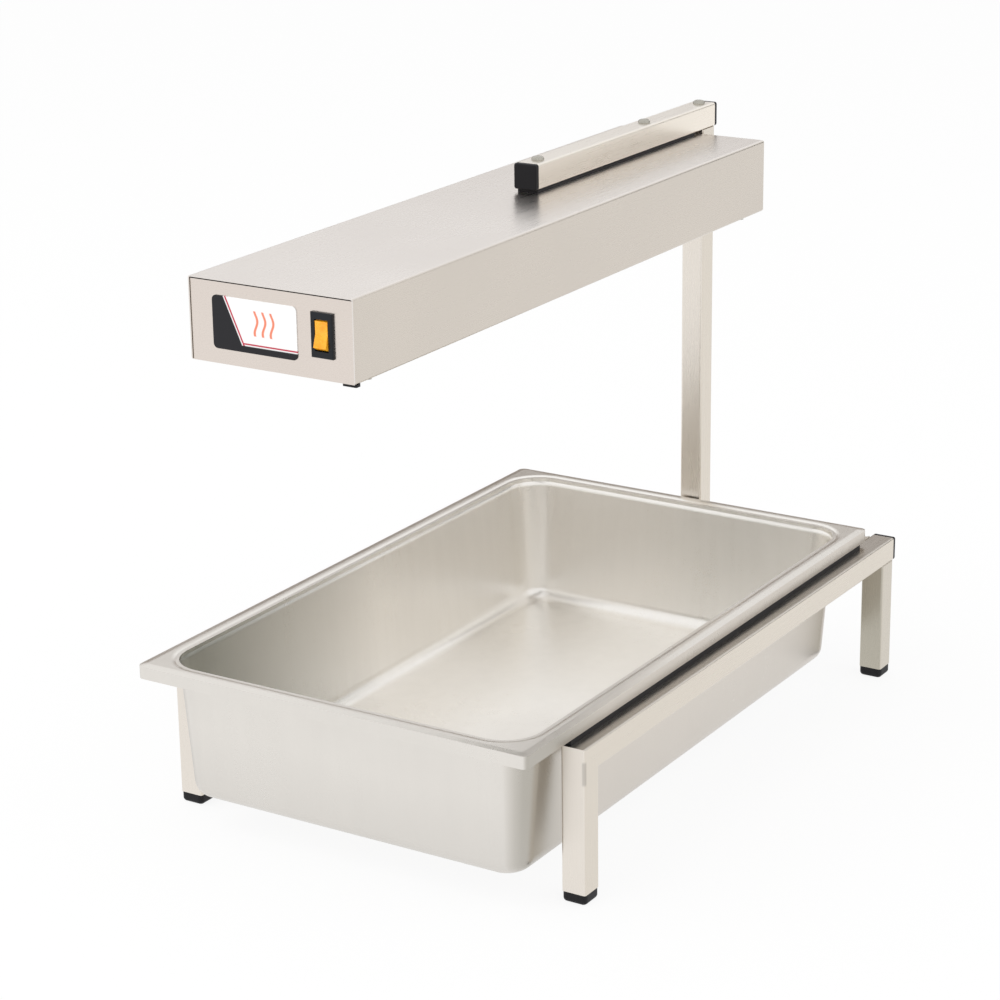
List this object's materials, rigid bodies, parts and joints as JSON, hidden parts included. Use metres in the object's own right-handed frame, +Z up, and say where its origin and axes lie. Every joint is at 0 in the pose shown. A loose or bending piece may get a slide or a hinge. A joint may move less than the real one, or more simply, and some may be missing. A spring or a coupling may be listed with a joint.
{
  "type": "chip warmer",
  "caption": "Countertop chip warmer: a square-tube stand holds a deep food pan under a long strip heater hung from an arm, with a lit rocker switch.",
  "frame": {"origin": "on the counter, under the middle of the overall box", "axes": "+X to the right of a person facing the switch, +Y from the switch end to the post, +Z up"},
  "size_m": [0.35, 0.608, 0.4642],
  "materials": {
    "tube_steel": "satin",
    "black_plug": "matte",
    "fastener_steel": "plated",
    "housing_steel": "satin",
    "panel_steel": "satin",
    "inner_steel": "mill",
    "reflector_aluminium": "bright",
    "element_sheath": "oxidised",
    "ceramic": "unglazed",
    "plated_brass": "plated",
    "inlet_rubber": "moulded",
    "switch_black": "moulded",
    "rocker_amber": "translucent",
    "lamp_glass": "clear",
    "nameplate_face": "printed",
    "guard_wire": "plated",
    "pan_steel": "satin",
    "lead_black": "insulation",
    "lead_white": "insulation",
    "lead_green": "insulation"
  },
  "bodies": {
    "warmer": {"left_rail_tube": "tube_steel", "right_rail_tube": "tube_steel", "front_left_leg": "tube_steel", "front_right_leg": "tube_steel", "rear_left_leg": "tube_steel", "rear_right_leg": "tube_steel", "rear_cross_tube": "tube_steel", "post_tube": "tube_steel", "arm_tube": "tube_steel", "front_left_foot": "black_plug", "front_right_foot": "black_plug", "rear_left_foot": "black_plug", "rear_right_foot": "black_plug", "left_rail_plug": "black_plug", "right_rail_plug": "black_plug", "arm_front_plug": "black_plug", "arm_rear_plug": "black_plug", "hanger_pad": "black_plug", "pan_rests": "black_plug", "front_bumper": "black_plug", "post_bolt": "fastener_steel", "post_insert": "fastener_steel", "hanger_bolts": "fastener_steel", "hanger_nuts": "fastener_steel", "guard_screws": "fastener_steel", "guard_nuts": "fastener_steel", "housing_cover": "housing_steel", "guard_clips": "housing_steel", "front_end_panel": "panel_steel", "rear_end_panel": "panel_steel", "front_bulkhead": "inner_steel", "rear_bulkhead": "inner_steel", "heat_baffle": "inner_steel", "hanger_doubler": "inner_steel", "element_hangers": "inner_steel", "reflector": "reflector_aluminium", "heating_element": "element_sheath", "element_bushings": "ceramic", "terminal_block": "ceramic", "element_terminals": "plated_brass", "terminal_nuts": "plated_brass", "terminal_screws": "plated_brass", "earth_stud": "plated_brass", "earth_nut": "plated_brass", "switch_terminals": "plated_brass", "inlet_grommet": "inlet_rubber", "switch_body": "switch_black", "pilot_lamp": "lamp_glass", "nameplate": "nameplate_face", "wire_guard": "guard_wire", "live_feed_lead": "lead_black", "switched_live_lead": "lead_black", "neutral_lead": "lead_white", "pilot_lead": "lead_white", "earth_lead": "lead_green"},
    "rocker": {"switch_rocker": "rocker_amber", "rocker_pivot_pin": "fastener_steel"},
    "pan": {"food_pan": "pan_steel"}
  },
  "joints": [
    {"name": "rocker_tilt", "type": "hinge", "parent": "warmer", "child": "rocker", "pos_m": [0.04105, -0.297, 0.413], "axis": [1, 0, 0], "range_deg": [0, 18]},
    {"name": "pan_lift", "type": "slide", "parent": "warmer", "child": "pan", "axis": [0, 0, 1], "range_m": [0, 0.12]}
  ]
}
